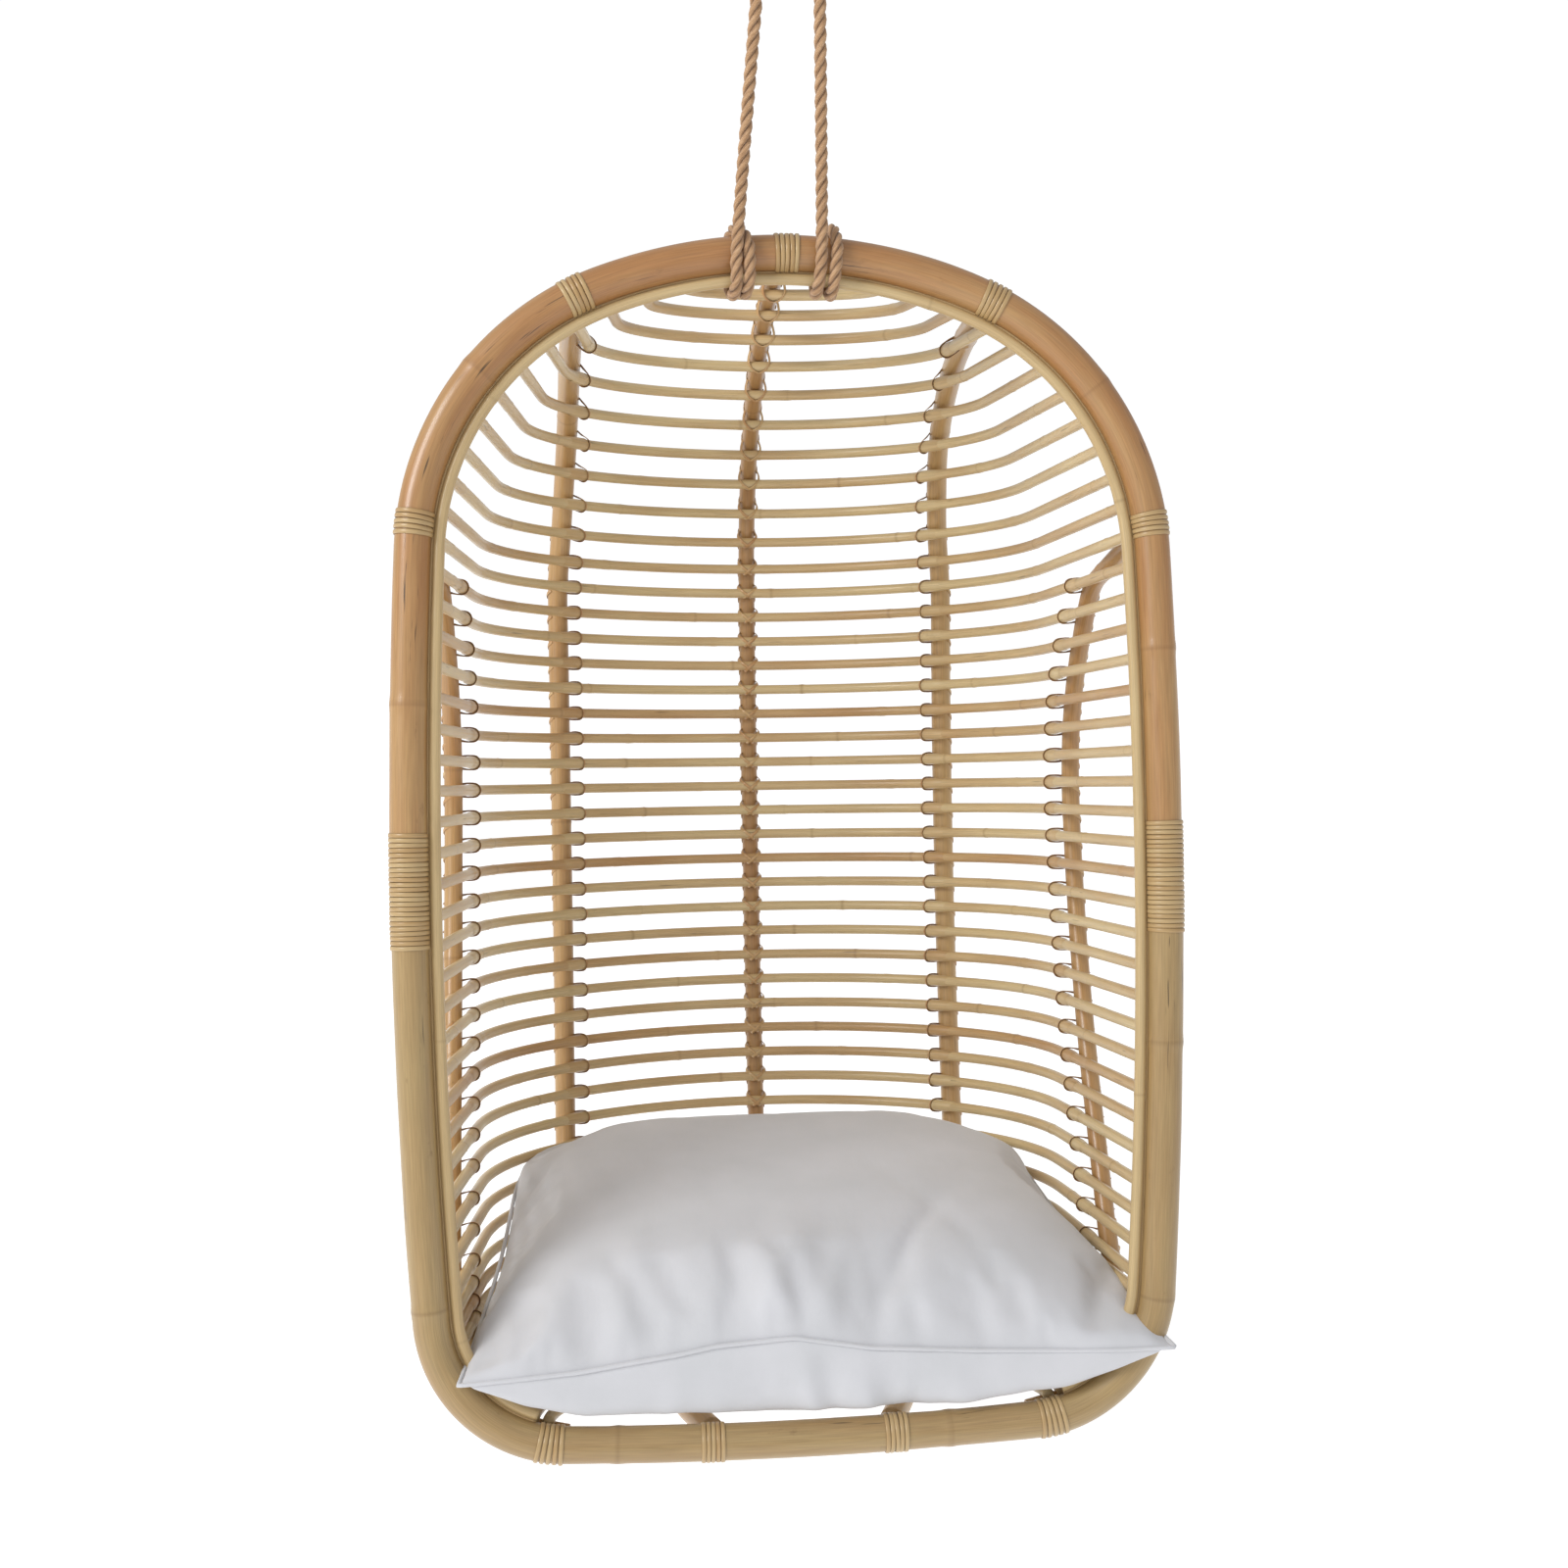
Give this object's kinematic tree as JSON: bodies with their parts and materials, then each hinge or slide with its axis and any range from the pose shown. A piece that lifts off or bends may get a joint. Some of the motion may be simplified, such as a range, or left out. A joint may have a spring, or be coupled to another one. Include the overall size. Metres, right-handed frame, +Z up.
{
  "type": "hanging egg chair",
  "caption": "Hanging basket chair: a bent rattan hoop with rungs and ribs lashed behind it, a square seat cushion, and a twisted rope loop on a ceiling swivel.",
  "frame": {"origin": "centre of the ceiling plate's top face, where it meets the ceiling", "axes": "+Z up, -Y towards the open front of the chair, +X to the right of someone who faces the open front"},
  "size_m": [0.757, 0.8542, 1.6189],
  "materials": {
    "rattan_honey": "clear lacquered rattan pole, honey orange, semi-gloss",
    "rattan_straw": "clear lacquered rattan pole, straw tan, semi-gloss",
    "rattan_rib": "lacquered rattan, orange brown",
    "rattan_rung": "lacquered thin rattan, pale straw",
    "rattan_trim": "peeled rattan, pale cream",
    "cane_peel": "split cane peel, cream",
    "jute_rope": "twisted jute, matte",
    "cushion_cotton": "white cotton, matte",
    "steel_painted": "black powder coat, satin",
    "steel_zinc": "zinc plated, satin"
  },
  "bodies": {
    "ceiling": {"ceiling_plate": "steel_painted", "ceiling_screws": "steel_zinc", "swivel_housing": "steel_painted", "thrust_washer": "steel_zinc"},
    "swivel": {"swivel_eye": "steel_zinc"},
    "shackle": {"shackle_bow": "steel_zinc", "shackle_pin": "steel_zinc", "shackle_nut": "steel_zinc"},
    "chair": {"binding_crown": "cane_peel", "binding_rail_inner_left": "cane_peel", "binding_rail_inner_right": "cane_peel", "binding_rail_outer_left": "cane_peel", "binding_rail_outer_right": "cane_peel", "binding_shoulder_left": "cane_peel", "binding_shoulder_right": "cane_peel", "binding_side_left": "cane_peel", "binding_side_right": "cane_peel", "hoop_lower": "rattan_straw", "hoop_upper": "rattan_honey", "rib_centre": "rattan_rib", "rib_inner_left": "rattan_rib", "rib_inner_right": "rattan_rib", "rib_nails": "steel_zinc", "rib_outer_left": "rattan_rib", "rib_outer_right": "rattan_rib", "rope": "jute_rope", "rope_hitch_left": "jute_rope", "rope_hitch_right": "jute_rope", "rungs_01": "rattan_rung", "rungs_02": "rattan_rung", "rungs_03": "rattan_rung", "rungs_04": "rattan_rung", "rungs_05": "rattan_rung", "rungs_06": "rattan_rung", "rungs_07": "rattan_rung", "rungs_08": "rattan_rung", "rungs_09": "rattan_rung", "rungs_10": "rattan_rung", "rungs_11": "rattan_rung", "rungs_12": "rattan_rung", "rungs_13": "rattan_rung", "rungs_14": "rattan_rung", "rungs_15": "rattan_rung", "rungs_16": "rattan_rung", "scarf_wrap_left": "cane_peel", "scarf_wrap_right": "cane_peel", "seat_brace": "rattan_rib", "thimble": "steel_zinc", "trim_pole": "rattan_trim"},
    "seat_cushion": {"cushion": "cushion_cotton"}
  },
  "joints": [
    {"name": "swivel_spin", "type": "hinge", "parent": "ceiling", "child": "swivel", "pos_m": [0, 0, -0.02], "axis": [0, 0, 1], "continuous": true},
    {"name": "swing_fore_aft", "type": "hinge", "parent": "swivel", "child": "shackle", "pos_m": [0, 0, -0.0637], "axis": [1, 0, 0], "range_deg": [-25, 25]},
    {"name": "swing_sideways", "type": "hinge", "parent": "shackle", "child": "chair", "pos_m": [0, 0, -0.0897], "axis": [0, 1, 0], "range_deg": [-20, 20]},
    {"name": "cushion_lift_out", "type": "slide", "parent": "chair", "child": "seat_cushion", "axis": [0, -0.9551, 0.2964], "range_m": [0, 0.6]}
  ]
}
